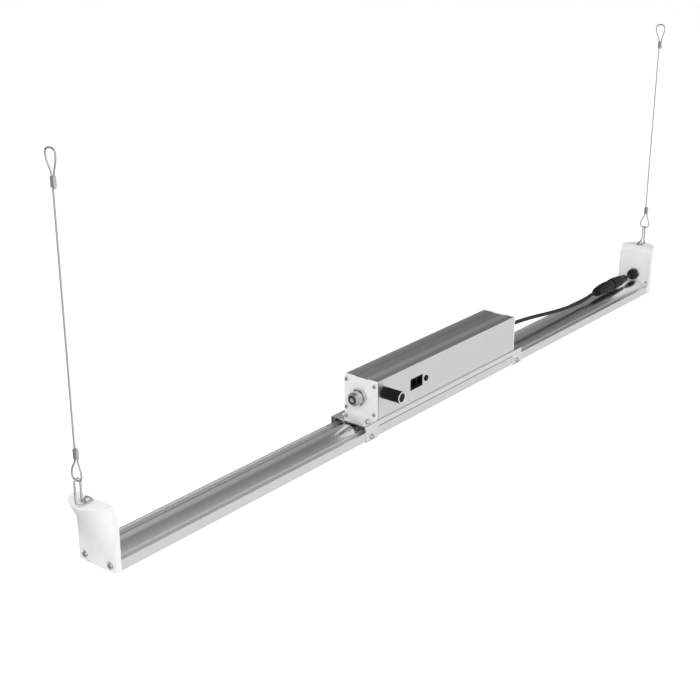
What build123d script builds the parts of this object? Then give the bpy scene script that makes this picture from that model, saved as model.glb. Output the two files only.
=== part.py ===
from build123d import *
import math
import os

os.makedirs("parts", exist_ok=True)

# LED grow light bar, hung by two steel wires. Millimetres, +X along the bar, +Y away from
# the control side, +Z up. The origin is midway between the inner crowns of the two top wire
# loops, where ceiling hooks pull. Heights named below are above the underside of the bar.

# Overall driving sizes
suspension_drop = 441.0
bar_length = 1189.0
bar_width = 54.0
sheet_fit = 0.05
gap_margin = 0.3

# Bar extrusion section
flange_height = 12.4
flange_top_width = 1.6
ledge_height = 11.4
dome_half_width = 18.7
dome_height = 18.3
dome_wall = 2.0
flange_wall = 1.8
web_thickness = 2.0
led_channel_depth = 7.0
lens_groove_low = 0.9
lens_groove_high = 2.9
lens_groove_depth = 1.0
port_y = 19.6
port_height = 7.3
port_wall = 1.65

# Screw sizes, as radii
m4_radius = 1.9
m4_hole = 1.95
m4_clearance = 2.2
m4_head_radius = 3.8
m4_head_height = 2.4
m3_radius = 1.45
m3_hole = 1.5
m3_clearance = 1.7
m3_head_radius = 2.75
m3_head_height = 1.8
socket_depth_share = 0.55

# Light source under the bar
led_board_width = 28.0
led_board_thickness = 1.6
led_board_gap = 2.0
led_board_end_gap = 4.0
led_count = 30
led_size = 5.0
led_height = 0.7
lens_thickness = 1.3
lens_bow = 0.9
lens_fit = 0.2

# End caps
gasket_thickness = 1.0
gasket_inset = 0.5
cap_width = 57.0
end_plate_thickness = 2.0
end_plate_height = 70.0
end_plate_corner = 3.0
lip_depth = 3.0
shell_flat = 2.5
shell_height = 77.5
shell_bulge = 25.0
shell_foot_bulge = 0.8
shell_margin = 0.5
shell_wall = 2.5
shell_web = 3.0
cavity_cover = 1.0
shell_cavity_low = 16.0
cap_screw_recess = 5.0
cap_screw_floor = 1.7
joining_screw_y = 21.5
joining_screw_height = 17.4
wiring_hole_radius = 3.0
wiring_hole_height = 13.2

# Hooks and suspension wires
wire_from_bar_end = 23.5
hook_wire_radius = 1.15
hook_crown_rise = 30.0
hook_leg_spacing = 7.6
hook_foot_y = 4.2
hook_foot_from_bar_end = 9.0
hook_screw_from_bar_end = 13.0
hook_screw_length = 12.0
hook_boss_radius = 4.0
hook_boss_depth = 8.0
hook_seat_gap = 0.05
washer_radius = 5.0
washer_thickness = 0.8
rope_radius = 0.9
rope_hook_gap = 0.15
rope_pair_spacing = 2.4
loop_half_width = 7.3
loop_shoulder = 11.7
loop_neck_to_ferrule = 2.5
rope_tail = 1.5
loop_crown_radius = 7.25
ferrule_width = 7.0
ferrule_thickness = 3.8
ferrule_length = 10.5
ferrule_fit = 0.05
ferrule_corner = 0.4
lower_loop_length = 24.2
upper_loop_length = 26.4

# Brackets
strap_floor = 20.0
strap_thickness = 1.5
bracket_skirt = 14.4
bracket_corner = 4.0
strap_width = 23.0
strap_under_driver = 1.75
strap_below_bar = 1.5
strap_outer_bend = 2.0
top_screw_from_edge = 9.0
top_screw_y = 20.0
top_screw_length = 15.5
leg_screw_from_edge = 11.5
leg_screw_height = 4.6
leg_screw_length = 4.5
tongue_screw_from_edge = 10.5
tongue_screw_y = 17.0

# Driver box
driver_length = 326.5
driver_offset = 3.0
driver_width = 52.5
driver_height = 51.5
driver_wall = 2.0
driver_corner = 1.0
driver_end_thickness = 2.5
driver_gasket_thickness = 1.0
driver_gasket_band = 7.2
driver_port_inset = 3.7
driver_port_low = 6.5
driver_port_high = 44.9
driver_port_wall = 1.7
driver_screw_length = 9.5
tongue_screw_length = 4.5
recess_half_floor = 9.0
recess_half_mouth = 12.5
recess_depth = 0.8

# Driver electronics
driver_board_end_gap = 17.0
driver_board_width = 36.0
board_thickness = 1.6
board_post_height = 4.0
board_post_radius = 3.0
transformer_x = 20.0
transformer_length = 36.0
transformer_width = 22.0
transformer_height = 30.0
transformer_leg = 6.0
winding_radius = 10.5
capacitor_places = [
    (-80.0, 8.0, 8.0, 25.0),
    (-60.0, 8.0, 8.0, 25.0),
    (80.0, 0.0, 6.3, 20.0),
    (96.0, 0.0, 6.3, 20.0),
    (112.0, 0.0, 6.3, 20.0),
]

# Controls on the near side of the driver
knob_from_end = 14.8
knob_height = 55.3
knob_radius = 7.85
knob_length = 28.0
knob_gap = 0.6
knob_flutes = 20
knob_flute_radius = 0.75
knob_smooth_end = 3.0
knob_skirt_radius = 6.4
knob_skirt_depth = 4.4
trim_ring_outer = 7.3
trim_ring_inner = 6.2
trim_ring_height = 0.8
pot_radius = 7.5
pot_depth = 9.0
bush_radius = 3.5
bush_length = 6.0
shaft_radius = 3.0
shaft_clearance = 0.05
shaft_grip = 10.0
pot_nut_flats = 10.0
pot_nut_thickness = 2.2
jack_from_end = 85.7
jack_height = 46.6
jack_width = 26.4
jack_tall = 15.6
jack_proud = 0.4
jack_depth = 18.0
jack_fit = 0.1
socket_spacing = 12.6
socket_width = 10.2
socket_tall = 8.4
socket_depth = 13.0
socket_notch_width = 4.6
socket_notch_tall = 2.0
contact_count = 8
contact_pitch = 1.02
contact_width = 0.5
contact_tall = 0.5
contact_setback = 3.0
button_from_end = 107.2
button_height = 46.2
bezel_radius = 4.25
bezel_proud = 0.8
barrel_radius = 3.8
barrel_depth = 9.0
button_radius = 2.9
button_clearance = 0.1
button_proud = 0.9
button_travel = 1.2
button_length = 4.6

# Metal mains gland on the left end plate
mains_height = 48.0
mains_hex_flats = 20.0
mains_hex_length = 5.5
mains_thread_radius = 7.95
mains_thread_inside = 8.0
mains_outer_thread_radius = 8.0
mains_outer_thread_length = 5.0
mains_bore = 5.5
mains_nut_radius = 9.3
mains_nut_length = 11.0
mains_nut_skirt = 6.0
mains_nut_tip_radius = 6.9
mains_nut_gap = 0.5
mains_seal_radius = 5.4
mains_seal_bore = 3.3
mains_seal_length = 9.0
mains_lock_flats = 20.0
mains_lock_thickness = 3.5
thread_fit = 0.05

# Nylon cable glands
nylon_thread_radius = 6.0
nylon_lock_flats = 16.0
nylon_lock_thickness = 2.8
output_height = 47.0
output_hex_flats = 15.0
output_hex_length = 4.0
output_nut_radius = 7.6
output_nut_length = 14.0
lamp_gland_height = 29.8
lamp_hex_flats = 18.0
lamp_hex_length = 3.5
lamp_nut_radius = 8.8
lamp_nut_length = 13.5
nylon_tip_radius = 4.6
nut_flutes = 12
nut_flute_radius = 0.9
nut_pocket_radius = 10.2
nut_pocket_depth = 3.2

# Low-voltage cable and its in-line connector
cable_radius = 2.75
cable_fit = 0.05
connector_from_bar_end = 137.5
collar_length = 5.0
collar_radius = 5.6
neck_radius = 4.9
socket_body_length = 49.0
socket_body_radius = 9.2
socket_shoulder_radius = 7.0
thumb_face_length = 34.0
thumb_face_height = 9.5
thumb_face_depth = 0.8
spigot_radius = 7.0
ring_radius = 9.5
ring_length = 13.7
ring_bore_gap = 0.08
ring_side_gap = 0.3
ring_flutes = 20
ring_flute_radius = 0.6
plug_length = 31.7
plug_radius = 8.7
plug_neck_radius = 5.6
plug_flutes = 12
plug_flute_radius = 0.9
cable_grip = 9.0

# Low-voltage cable's route from the driver's gland to the connector: x, y and height
cable_route = [
    (163.0, 0.0, 47.0),
    (200.0, 0.0, 47.0),
    (258.0, 0.9, 41.0),
    (322.0, -0.8, 32.6),
    (375.0, -0.5, 27.4),
    (418.0, 0.6, 25.4),
    (445.0, 0.0, 29.8),
    (466.0, 0.0, 29.8),
]

# Levels and places worked out from the sizes above
base_z = -suspension_drop
bar_half = bar_length / 2
wire_place = bar_half + wire_from_bar_end
hook_foot_end = bar_half + hook_foot_from_bar_end
hook_screw_place = bar_half + hook_screw_from_bar_end
hook_crown_height = shell_height + hook_crown_rise
low_crown = hook_crown_height - hook_wire_radius - rope_hook_gap - rope_radius
high_crown = suspension_drop + rope_radius
low_neck = low_crown + lower_loop_length - loop_neck_to_ferrule
high_neck = high_crown - upper_loop_length + loop_neck_to_ferrule
lower_ferrule_height = low_crown + lower_loop_length
upper_ferrule_height = high_crown - upper_loop_length - ferrule_length
strap_place = driver_length / 2 - strap_under_driver
top_screw_place = strap_place + top_screw_from_edge
leg_screw_place = strap_place + leg_screw_from_edge
tongue_screw_place = strap_place - tongue_screw_from_edge
connector_start = bar_half - connector_from_bar_end
connector_height = lamp_gland_height
body_start = connector_start + collar_length
socket_body_end = body_start + socket_body_length
ring_start = socket_body_end + ring_side_gap
ring_end = ring_start + ring_length
plug_start = ring_end + ring_side_gap
plug_end = plug_start + plug_length
side_y = bar_width / 2
channel_half_width = side_y - flange_wall
port_radius = m4_hole + port_wall
plate_start = bar_half + gasket_thickness
shell_start = plate_start + end_plate_thickness
shell_face = shell_start + shell_flat
strap_top = strap_floor + strap_thickness
driver_floor = strap_top
driver_top = driver_floor + driver_height
driver_left = driver_offset - driver_length / 2
driver_right = driver_offset + driver_length / 2
near_face = -driver_width / 2
tube_left = driver_left + driver_end_thickness + driver_gasket_thickness
tube_right = driver_right - driver_end_thickness - driver_gasket_thickness
driver_port_y = driver_width / 2 - driver_port_inset
driver_ports = [
    (side * driver_port_y, driver_floor + rise)
    for side in (-1, 1)
    for rise in (driver_port_low, driver_port_high)
]


def across(x):
    """Section plane at x, whose sketch axes are Y and the height above the bar's underside."""
    return Plane(origin=(x, 0, base_z), x_dir=(0, 1, 0), z_dir=(1, 0, 0))


def facing_near(y):
    """Plane at y facing -Y, whose sketch axes are X and the height above the underside."""
    return Plane(origin=(0, y, base_z), x_dir=(1, 0, 0), z_dir=(0, -1, 0))


def level(height):
    """Horizontal plane at a height above the bar's underside."""
    return Plane.XY.offset(base_z + height)


def hex_radius(flats):
    """Corner radius of a hexagon from its size across flats."""
    return flats / 2 / math.cos(math.radians(30))


def write(piece, label):
    """Label a finished piece and write its STEP file."""
    piece.part.label = label
    export_step(piece.part, f"parts/{label}.step")


def add_screw(seat, head_radius, head_height, shank_radius, shank_length):
    """Add a screw whose domed head sits on the seat plane and whose shank goes into it."""
    with BuildSketch(seat) as head_base:
        Circle(head_radius)
    with BuildSketch(seat.offset(head_height)) as head_top:
        Circle(head_radius * 0.72)
    with BuildSketch(seat) as shank:
        Circle(shank_radius)
    with BuildSketch(seat.offset(head_height)) as socket:
        RegularPolygon(head_radius * 0.42, 6)
    loft([head_base.sketch, head_top.sketch])
    extrude(shank.sketch, amount=-shank_length)
    extrude(socket.sketch, amount=-head_height * socket_depth_share, mode=Mode.SUBTRACT)


def bar_outline(inset):
    """The bar's outer outline, drawn in all round by an inset."""
    flange_inner = side_y - flange_top_width
    low = inset
    side = side_y - inset
    top = flange_height - inset
    step = ledge_height - inset
    with BuildSketch() as outline:
        with BuildLine():
            Polyline(
                (-dome_half_width, step), (-flange_inner, step), (-flange_inner, top),
                (-side, top), (-side, low), (side, low), (side, top),
                (flange_inner, top), (flange_inner, step), (dome_half_width, step),
            )
            ThreePointArc(
                (dome_half_width, step), (0, dome_height - inset), (-dome_half_width, step)
            )
        make_face()
    return outline.sketch


# Bar extrusion: domed top, ledges, side flanges and an open channel for the light source
web_top = led_channel_depth + web_thickness
inner_foot = dome_half_width - dome_wall
with BuildPart() as bar_extrusion:
    with BuildSketch(across(-bar_half)):
        add(bar_outline(0))
        with BuildLine():
            ThreePointArc(
                (-inner_foot, web_top), (0, dome_height - dome_wall), (inner_foot, web_top)
            )
            Line((inner_foot, web_top), (-inner_foot, web_top))
        make_face(mode=Mode.SUBTRACT)
        with Locations((0, led_channel_depth / 2)):
            Rectangle(2 * channel_half_width, led_channel_depth, mode=Mode.SUBTRACT)
        with Locations((-port_y, port_height), (port_y, port_height)):
            Circle(port_radius)
            Circle(m4_hole, mode=Mode.SUBTRACT)
        groove_middle = (lens_groove_low + lens_groove_high) / 2
        with Locations((0, groove_middle)):
            Rectangle(
                2 * (channel_half_width + lens_groove_depth),
                lens_groove_high - lens_groove_low,
                mode=Mode.SUBTRACT,
            )
    extrude(amount=bar_length)
    with BuildSketch(level(strap_top)):
        with GridLocations(2 * top_screw_place, 2 * top_screw_y, 2, 2):
            Circle(m4_hole)
    extrude(amount=-top_screw_length, mode=Mode.SUBTRACT)
    for side in (-1, 1):
        with BuildSketch(facing_near(side * side_y)):
            with Locations((-leg_screw_place, leg_screw_height), (leg_screw_place, leg_screw_height)):
                Circle(m4_hole)
        extrude(amount=side * flange_wall, mode=Mode.SUBTRACT)
write(bar_extrusion, "bar_extrusion")

# Two LED boards against the web, end to end, and the row of LED packages on them
board_length = bar_half - led_board_end_gap - led_board_gap / 2
board_low = led_channel_depth - led_board_thickness
for side, name in ((-1, "left"), (1, "right")):
    board_middle = side * (led_board_gap / 2 + board_length / 2)
    with BuildPart() as led_board:
        with BuildSketch(level(board_low)):
            with Locations((board_middle, 0)):
                Rectangle(board_length, led_board_width)
        extrude(amount=led_board_thickness)
    write(led_board, f"led_board_{name}")


package_pitch = board_length / led_count
with BuildPart() as led_packages:
    for side in (-1, 1):
        board_middle = side * (led_board_gap / 2 + board_length / 2)
        with BuildSketch(level(board_low)):
            with Locations((board_middle, 0)):
                with GridLocations(package_pitch, led_size, led_count, 1):
                    Rectangle(led_size, led_size)
        extrude(amount=-led_height)
write(led_packages, "led_packages")

# Clear cover, slid into the grooves of the flanges and bowed slightly downwards
lens_edge = channel_half_width + lens_groove_depth - lens_fit
lens_low = lens_groove_low + lens_fit
with BuildPart() as lens_cover:
    with BuildSketch(across(-bar_half)):
        with BuildLine():
            ThreePointArc((-lens_edge, lens_low), (0, lens_low - lens_bow), (lens_edge, lens_low))
            Line((lens_edge, lens_low), (lens_edge, lens_low + lens_thickness))
            ThreePointArc(
                (lens_edge, lens_low + lens_thickness),
                (0, lens_low + lens_thickness - lens_bow),
                (-lens_edge, lens_low + lens_thickness),
            )
            Line((-lens_edge, lens_low + lens_thickness), (-lens_edge, lens_low))
        make_face()
    extrude(amount=bar_length)
write(lens_cover, "lens_cover")


def shell_bulge_at(height):
    """How far the shell bows out of its flat face at a height."""
    return shell_foot_bulge + (shell_bulge - shell_foot_bulge) * (height / shell_height) ** 2


def bowed_section(side, back, front, half_width, height, depth):
    """A D-shaped section of the shell: straight at the back, bowed by depth at the front."""
    with BuildSketch(level(height)) as section:
        with BuildLine():
            Polyline(
                (side * front, half_width), (side * back, half_width),
                (side * back, -half_width), (side * front, -half_width),
            )
            ThreePointArc(
                (side * front, -half_width), (side * (front + depth), 0), (side * front, half_width)
            )
        make_face()
    return section.sketch


cap_ports = [(-port_y, port_height), (port_y, port_height)]
joining_screws = [(-joining_screw_y, joining_screw_height), (joining_screw_y, joining_screw_height)]
foot_height = shell_height + hook_wire_radius + hook_seat_gap
washer_height = foot_height + hook_wire_radius + hook_seat_gap
cavity_high = min(end_plate_height - cavity_cover, shell_height - shell_web)
hook_boss_low = cavity_high - hook_boss_depth
recess_face = shell_start + cap_screw_floor
cap_screw_length = 14.0
joining_screw_length = end_plate_thickness + 2.0

for side, name in ((-1, "left"), (1, "right")):
    # Gasket between the bar's end and the end plate
    with BuildPart() as end_gasket:
        with BuildSketch(across(side * bar_half)):
            add(bar_outline(gasket_inset))
            with Locations(*cap_ports):
                Circle(m4_clearance, mode=Mode.SUBTRACT)
            with Locations((0, wiring_hole_height)):
                Circle(wiring_hole_radius, mode=Mode.SUBTRACT)
        extrude(amount=side * gasket_thickness)
    write(end_gasket, f"{name}_end_gasket")

    # End plate: a flat web with a shallow lip down each side that hugs the bar
    with BuildPart() as end_plate:
        with BuildSketch(across(side * plate_start)) as web:
            with Locations((0, end_plate_height / 2)):
                Rectangle(cap_width, end_plate_height)
            fillet(web.vertices().group_by(Axis.Z)[-1], end_plate_corner)
            with Locations(*cap_ports):
                Circle(m4_clearance, mode=Mode.SUBTRACT)
            with Locations(*joining_screws):
                Circle(m3_clearance, mode=Mode.SUBTRACT)
            with Locations((0, wiring_hole_height)):
                Circle(wiring_hole_radius, mode=Mode.SUBTRACT)
            if side > 0:
                with Locations((0, lamp_gland_height)):
                    Circle(nylon_thread_radius + thread_fit, mode=Mode.SUBTRACT)
        extrude(amount=side * end_plate_thickness)
        lip_inner = side_y + sheet_fit
        lip_width = cap_width / 2 - lip_inner
        lip_middle = lip_inner + lip_width / 2
        lip_height = end_plate_height - end_plate_corner
        with BuildSketch(across(side * plate_start)):
            with Locations((-lip_middle, lip_height / 2), (lip_middle, lip_height / 2)):
                Rectangle(lip_width, lip_height)
        extrude(amount=-side * lip_depth)
    write(end_plate, f"{name}_end_plate")

    # End shell: a flat back plate with a bulge that swells towards the top, hollow behind
    with BuildPart() as end_shell:
        with BuildSketch(across(side * shell_start)):
            with Locations((0, shell_height / 2)):
                Rectangle(cap_width, shell_height)
        extrude(amount=side * shell_flat)
        bulge_half = cap_width / 2 - shell_margin
        loft([
            bowed_section(side, shell_start + shell_flat / 2, shell_face, bulge_half,
                          shell_height * share, shell_bulge_at(shell_height * share))
            for share in (0, 0.33, 0.67, 1)
        ])
        cavity_half = cap_width / 2 - shell_wall - shell_margin
        loft([
            bowed_section(side, shell_start - 1, shell_start, cavity_half, height,
                          shell_bulge_at(height))
            for height in (shell_cavity_low, (shell_cavity_low + cavity_high) / 2, cavity_high)
        ], mode=Mode.SUBTRACT)
        with BuildSketch(level(hook_boss_low)):
            with Locations((side * hook_screw_place, 0)):
                Circle(hook_boss_radius)
        extrude(amount=shell_height - hook_boss_low)
        with BuildSketch(level(shell_height)):
            with Locations((side * hook_screw_place, 0)):
                Circle(m4_hole)
        extrude(amount=-hook_screw_length, mode=Mode.SUBTRACT)
        with BuildSketch(across(side * shell_start)):
            with Locations(*cap_ports):
                Circle(m4_clearance)
        extrude(amount=side * 2 * shell_flat, mode=Mode.SUBTRACT)
        with BuildSketch(across(side * recess_face)):
            with Locations(*cap_ports):
                Circle(cap_screw_recess)
        extrude(amount=side * 2 * shell_flat, mode=Mode.SUBTRACT)
        with BuildSketch(across(side * shell_start)):
            with Locations(*joining_screws):
                Circle(m3_hole)
        extrude(amount=side * (joining_screw_length - end_plate_thickness), mode=Mode.SUBTRACT)
        groove_height = shell_cavity_low + 4 - (wiring_hole_height - wiring_hole_radius)
        with BuildSketch(across(side * shell_start)):
            with Locations((0, wiring_hole_height - wiring_hole_radius + groove_height / 2)):
                Rectangle(2 * wiring_hole_radius, groove_height)
        extrude(amount=side * shell_flat * 0.7, mode=Mode.SUBTRACT)
        if side > 0:
            with BuildSketch(across(side * shell_start)):
                with Locations((0, lamp_gland_height)):
                    Circle(nut_pocket_radius)
            extrude(amount=nut_pocket_depth, mode=Mode.SUBTRACT)
    write(end_shell, f"{name}_end_shell")

    # Screws through the shell and the end plate into the bar's screw ports
    with BuildPart() as end_screws:
        for y, height in cap_ports:
            seat = Plane(origin=(side * recess_face, y, base_z + height), z_dir=(side, 0, 0))
            add_screw(seat, m4_head_radius, m4_head_height, m4_radius, cap_screw_length)
    write(end_screws, f"{name}_end_screws")

    # Small screws that join the end plate to the shell, put in from the bar's side
    with BuildPart() as plate_screws:
        for y, height in joining_screws:
            seat = Plane(origin=(side * plate_start, y, base_z + height), z_dir=(-side, 0, 0))
            add_screw(seat, m3_head_radius, m3_head_height, m3_radius, joining_screw_length)
    write(plate_screws, f"{name}_plate_screws")

    # Hook: one bent wire with two feet that lie on the shell's top, either side of the screw
    outer_leg = wire_place + hook_leg_spacing / 2
    inner_leg = wire_place - hook_leg_spacing / 2
    foot_z = base_z + foot_height
    crown_z = base_z + hook_crown_height
    with BuildPart() as hook:
        with BuildLine() as hook_line:
            FilletPolyline(
                (side * hook_foot_end, -hook_foot_y, foot_z),
                (side * (outer_leg - 4.4), -hook_foot_y, foot_z),
                (side * outer_leg, 0, foot_z),
                (side * outer_leg, 0, crown_z),
                (side * inner_leg, 0, crown_z),
                (side * inner_leg, 0, foot_z + 9),
                (side * (inner_leg - 0.8), hook_foot_y, foot_z),
                (side * hook_foot_end, hook_foot_y, foot_z),
                radius=[4.0, 3.6, 3.75, 3.75, 6.0, 2.6],
            )
        hook_start = Plane(origin=hook_line.line @ 0, z_dir=hook_line.line % 0)
        with BuildSketch(hook_start):
            Circle(hook_wire_radius)
        sweep()
    write(hook, f"{name}_hook")

    # Washer and screw that clamp both feet of the hook
    with BuildPart() as hook_fixing:
        with BuildSketch(level(washer_height)):
            with Locations((side * hook_screw_place, 0)):
                Circle(washer_radius)
                Circle(m4_clearance, mode=Mode.SUBTRACT)
        extrude(amount=washer_thickness)
        seat = Plane(
            origin=(side * hook_screw_place, 0, base_z + washer_height + washer_thickness),
            z_dir=(0, 0, 1),
        )
        add_screw(seat, m4_head_radius, m4_head_height, m4_radius, hook_screw_length)
    write(hook_fixing, f"{name}_hook_fixing")

    # Suspension wire: one unbroken steel wire with a crimped loop at each end
    hang = side * wire_place
    with BuildPart() as wire:
        with BuildLine() as wire_line:
            FilletPolyline(
                (hang, -rope_pair_spacing, base_z + lower_ferrule_height + ferrule_length + rope_tail),
                (hang, -rope_pair_spacing, base_z + low_neck),
                (hang, -loop_half_width, base_z + low_crown + loop_shoulder),
                (hang, -loop_half_width, base_z + low_crown),
                (hang, loop_half_width, base_z + low_crown),
                (hang, loop_half_width, base_z + low_crown + loop_shoulder),
                (hang, 0, base_z + low_neck),
                (hang, 0, base_z + high_neck),
                (hang, loop_half_width, base_z + high_crown - loop_shoulder),
                (hang, loop_half_width, base_z + high_crown),
                (hang, -loop_half_width, base_z + high_crown),
                (hang, -loop_half_width, base_z + high_crown - loop_shoulder),
                (hang, -rope_pair_spacing, base_z + high_neck),
                (hang, -rope_pair_spacing, base_z + upper_ferrule_height - rope_tail),
                radius=[6.0, 8.0, loop_crown_radius, loop_crown_radius, 8.0, 6.0,
                        6.0, 8.0, loop_crown_radius, loop_crown_radius, 8.0, 6.0],
            )
        wire_start = Plane(origin=wire_line.line @ 0, z_dir=wire_line.line % 0)
        with BuildSketch(wire_start):
            Circle(rope_radius)
        sweep()
    write(wire, f"{name}_wire")
    rope_length = wire_line.wires()[0].length
    rope_area = math.pi * rope_radius ** 2
    print(f"{name} wire: {rope_length:.0f} mm long,",
          f"volume ratio {wire.part.volume / (rope_area * rope_length):.4f},",
          f"gap to itself {rope_pair_spacing - 2 * rope_radius:.2f} mm in the ferrules")

    # Crimp ferrules that hold each loop's two passes
    with BuildPart() as ferrules:
        for height in (lower_ferrule_height, upper_ferrule_height):
            ferrule_plane = Plane(
                origin=(hang, -rope_pair_spacing / 2, base_z + height), x_dir=(0, 1, 0), z_dir=(0, 0, 1)
            )
            with BuildSketch(ferrule_plane):
                SlotOverall(ferrule_width, ferrule_thickness)
                with Locations((-rope_pair_spacing / 2, 0), (rope_pair_spacing / 2, 0)):
                    Circle(rope_radius + ferrule_fit, mode=Mode.SUBTRACT)
            extrude(amount=ferrule_length)
    write(ferrules, f"{name}_ferrules")

# Bracket: one folded sheet over the bar, cut away between a deep strap at each end
strap_inner = side_y + sheet_fit
strap_outer = strap_inner + strap_thickness
bracket_half = strap_place + strap_width
with BuildPart() as driver_bracket:
    with BuildSketch(across(-bracket_half)) as strap:
        with Locations((0, strap_top)):
            Rectangle(2 * strap_outer, strap_top + strap_below_bar,
                      align=(Align.CENTER, Align.MAX))
        fillet(strap.vertices().group_by(Axis.Z)[-1], strap_outer_bend)
        with Locations((0, strap_floor)):
            Rectangle(2 * strap_inner, strap_floor + strap_below_bar,
                      align=(Align.CENTER, Align.MAX), mode=Mode.SUBTRACT)
    extrude(amount=2 * bracket_half)
    with BuildSketch(facing_near(-strap_outer)) as window:
        with Locations((0, (bracket_skirt - strap_below_bar) / 2)):
            Rectangle(2 * strap_place, bracket_skirt + strap_below_bar)
        fillet(window.vertices().group_by(Axis.Z)[-1], bracket_corner)
    extrude(amount=-2 * strap_outer, mode=Mode.SUBTRACT)
    with BuildSketch(level(strap_floor)):
        with GridLocations(2 * top_screw_place, 2 * top_screw_y, 2, 2):
            Circle(m4_clearance)
        with GridLocations(2 * tongue_screw_place, 2 * tongue_screw_y, 2, 2):
            Circle(m4_clearance)
    extrude(amount=strap_thickness, mode=Mode.SUBTRACT)
    with BuildSketch(facing_near(-strap_outer)):
        with Locations((-leg_screw_place, leg_screw_height), (leg_screw_place, leg_screw_height)):
            Circle(m4_clearance)
    extrude(amount=-2 * strap_outer, mode=Mode.SUBTRACT)
write(driver_bracket, "driver_bracket")

for side, name in ((-1, "left"), (1, "right")):
    # Bracket screws: two from above, one in each leg, and two up into the driver's floor
    with BuildPart() as bracket_screws:
        for end in (-1, 1):
            top_seat = Plane(
                origin=(side * top_screw_place, end * top_screw_y, base_z + strap_top), z_dir=(0, 0, 1)
            )
            add_screw(top_seat, m4_head_radius, m4_head_height, m4_radius, top_screw_length)
            leg_seat = Plane(
                origin=(side * leg_screw_place, end * strap_outer, base_z + leg_screw_height),
                z_dir=(0, end, 0),
            )
            add_screw(leg_seat, m4_head_radius, m4_head_height, m4_radius, leg_screw_length)
            tongue_seat = Plane(
                origin=(side * tongue_screw_place, end * tongue_screw_y, base_z + strap_floor),
                z_dir=(0, 0, -1),
            )
            add_screw(tongue_seat, m4_head_radius, m4_head_height, m4_radius, tongue_screw_length)
    write(bracket_screws, f"{name}_bracket_screws")


def driver_outline(inset):
    """The driver's outer outline with its shallow top recess, drawn in all round by an inset."""
    half = driver_width / 2 - inset
    low = driver_floor + inset
    high = driver_top - inset
    with BuildSketch() as outline:
        with BuildLine():
            Polyline(
                (-half, low), (half, low), (half, high), (recess_half_mouth, high),
                (recess_half_floor, high - recess_depth), (-recess_half_floor, high - recess_depth),
                (-recess_half_mouth, high), (-half, high), close=True,
            )
        make_face()
        corners = [corner for corner in outline.vertices() if abs(corner.X) > half - 0.01]
        fillet(corners, driver_corner)
    return outline.sketch


# Driver housing: an extruded tube with corner screw ports and openings for the controls
knob_x = driver_left + knob_from_end
jack_x = driver_left + jack_from_end
button_x = driver_left + button_from_end
with BuildPart() as driver_housing:
    with BuildSketch(across(tube_left)):
        add(driver_outline(0))
        add(driver_outline(driver_wall), mode=Mode.SUBTRACT)
        with Locations(*driver_ports):
            Circle(m3_hole + driver_port_wall)
        with Locations(*driver_ports):
            Circle(m3_hole, mode=Mode.SUBTRACT)
    extrude(amount=tube_right - tube_left)
    with BuildSketch(facing_near(near_face)):
        with Locations((knob_x, knob_height)):
            Circle(bush_radius + thread_fit)
        with Locations((jack_x, jack_height)):
            Rectangle(jack_width + 2 * jack_fit, jack_tall + 2 * jack_fit)
        with Locations((button_x, button_height)):
            Circle(barrel_radius + jack_fit)
    extrude(amount=-driver_wall, mode=Mode.SUBTRACT)
    with BuildSketch(level(driver_floor)):
        with GridLocations(2 * tongue_screw_place, 2 * tongue_screw_y, 2, 2):
            Circle(m4_hole)
    extrude(amount=driver_wall, mode=Mode.SUBTRACT)
write(driver_housing, "driver_housing")

for side, name, face, gland_height, gland_hole in (
    (-1, "left", driver_left, mains_height, mains_thread_radius),
    (1, "right", driver_right, output_height, nylon_thread_radius),
):
    inner_face = face - side * driver_end_thickness
    with BuildPart() as driver_plate:
        with BuildSketch(across(inner_face)):
            add(driver_outline(0))
            with Locations(*driver_ports):
                Circle(m3_clearance, mode=Mode.SUBTRACT)
            with Locations((0, gland_height)):
                Circle(gland_hole + thread_fit, mode=Mode.SUBTRACT)
        extrude(amount=side * driver_end_thickness)
    write(driver_plate, f"driver_{name}_plate")

    with BuildPart() as driver_gasket:
        with BuildSketch(across(inner_face)):
            add(driver_outline(gasket_inset))
            with Locations((0, driver_floor + driver_height / 2)):
                Rectangle(driver_width - 2 * driver_gasket_band, driver_height - 2 * driver_gasket_band,
                          mode=Mode.SUBTRACT)
            with Locations(*driver_ports):
                Circle(m3_clearance, mode=Mode.SUBTRACT)
        extrude(amount=-side * driver_gasket_thickness)
    write(driver_gasket, f"driver_{name}_gasket")

    with BuildPart() as driver_screws:
        for y, height in driver_ports:
            seat = Plane(origin=(face, y, base_z + height), z_dir=(side, 0, 0))
            add_screw(seat, m3_head_radius, m3_head_height, m3_radius, driver_screw_length)
    write(driver_screws, f"driver_{name}_screws")

# Driver electronics: a board on four posts that carries a transformer and capacitors
board_height = driver_floor + driver_wall + board_post_height
board_top = board_height + board_thickness
board_span = tube_right - tube_left - 2 * driver_board_end_gap
with BuildPart() as circuit_board:
    with BuildSketch(level(board_height)):
        with Locations((driver_offset, 0)):
            Rectangle(board_span, driver_board_width)
    extrude(amount=board_thickness)
    with BuildSketch(level(board_height)):
        with Locations((driver_offset, 0)):
            with GridLocations(board_span - 30, driver_board_width - 10, 2, 2):
                Circle(board_post_radius)
    extrude(amount=-board_post_height)
write(circuit_board, "circuit_board")

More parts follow.
